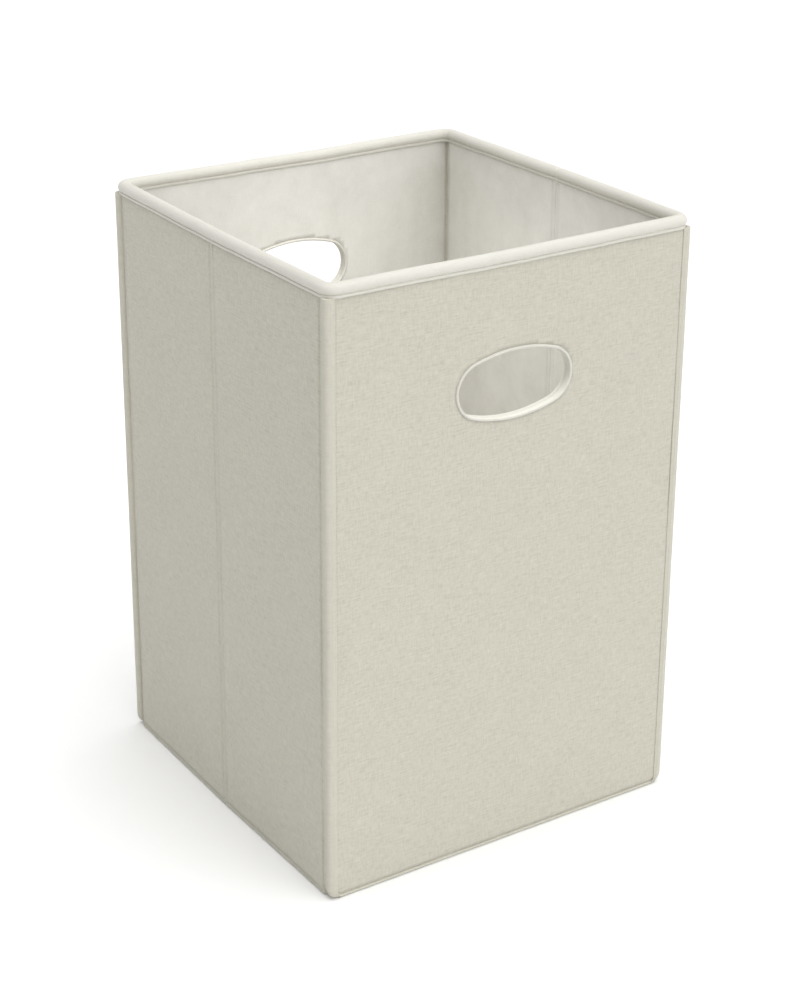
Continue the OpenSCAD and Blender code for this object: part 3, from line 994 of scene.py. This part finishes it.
for word, hand, pinch in (("left", LEFT, 0.04), ("right", RIGHT, 0.3)):
    rim_crease(word, hand, pinch)
    crease_cloth(word, hand)
    crease_band(f"{word}_rear", BACK, hand, f"{word}_crease_band")
    crease_band(f"{word}_front", FRONT, hand)

base_flap()

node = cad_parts["base_board"]
node.data.materials.clear()
node.data.materials.append(board)


# ---- floor, light and camera ----

def studio():
    """Pale floor, white room light, two broad soft lamps and a small one over the opening."""
    bm = bmesh.new()
    bmesh.ops.create_grid(bm, x_segments=1, y_segments=1, size=30)
    bmesh.ops.translate(bm, vec=(0, 0, -0.0002), verts=bm.verts)
    shade = Shade("pale_floor", 0.9)
    tone = shade.noise(shade.stretch(shade.coord, (3, 3, 3)), 1.0, 2.0)
    bounce = shade.ramp(tone, [(0.0, (0.81, 0.81, 0.81)), (1.0, (0.83, 0.83, 0.83))])
    direct = shade.node("ShaderNodeLightPath").outputs["Is Camera Ray"]
    floor = finished("floor", bm, shade.finish(shade.mix(direct, bounce, (0.99, 0.99, 0.99))))
    world = bpy.data.worlds.new("soft_room")
    world.use_nodes = True
    soft = world.node_tree.nodes["Background"]
    soft.inputs["Strength"].default_value = 0.5
    plain = world.node_tree.nodes.new("ShaderNodeBackground")
    seen = world.node_tree.nodes.new("ShaderNodeLightPath")
    both = world.node_tree.nodes.new("ShaderNodeMixShader")
    for node in (soft, plain):
        node.inputs["Color"].default_value = (1, 1, 1, 1)
    for a, b in ((seen.outputs["Is Camera Ray"], both.inputs[0]), (soft.outputs[0], both.inputs[1]),
                 (plain.outputs[0], both.inputs[2]),
                 (both.outputs[0], world.node_tree.nodes["World Output"].inputs[0])):
        world.node_tree.links.new(a, b)
    bpy.context.scene.world = world
    for name, strength, spread_deg, aim in (("soft_key", 1.0, 52, (0.33, -0.88, 0.2)),
                                            ("overhead_box", 2.1, 60, (0.05, -0.1, 1.0))):
        lamp_data = bpy.data.lights.new(name, "SUN")
        lamp_data.energy = strength
        lamp_data.angle = math.radians(spread_deg)
        lamp = bpy.data.objects.new(name, lamp_data)
        lamp.rotation_euler = Vector(aim).to_track_quat("Z", "Y").to_euler()
        lamp.location = aim
        bpy.context.scene.collection.objects.link(lamp)
    box_light = bpy.data.lights.new("inside_fill", "AREA")
    box_light.size = 0.22
    box_light.energy = 0.31
    box_light.spread = math.radians(120)
    lamp = bpy.data.objects.new("inside_fill", box_light)
    lamp.location = (0, 0, height + 0.06)
    lamp.visible_camera = False
    bpy.context.scene.collection.objects.link(lamp)


def place_camera():
    """Camera a little above the rim, turned towards the near corner."""
    azimuth, elevation = math.radians(-32.482), math.radians(21.001)
    back = Vector((math.sin(azimuth) * math.cos(elevation), -math.cos(azimuth) * math.cos(elevation),
                   math.sin(elevation)))
    data = bpy.data.cameras.new("view")
    data.lens = 76.98
    data.sensor_width = 36
    data.shift_x = 0.0398
    data.shift_y = -0.11
    camera = bpy.data.objects.new("view", data)
    camera.location = (-0.9625, -1.4623, 1.0341)
    camera.rotation_mode = "QUATERNION"
    camera.rotation_quaternion = back.to_track_quat("Z", "Y")
    bpy.context.scene.collection.objects.link(camera)
    bpy.context.scene.camera = camera


studio()
place_camera()
bpy.context.scene.view_settings.view_transform = "Standard"
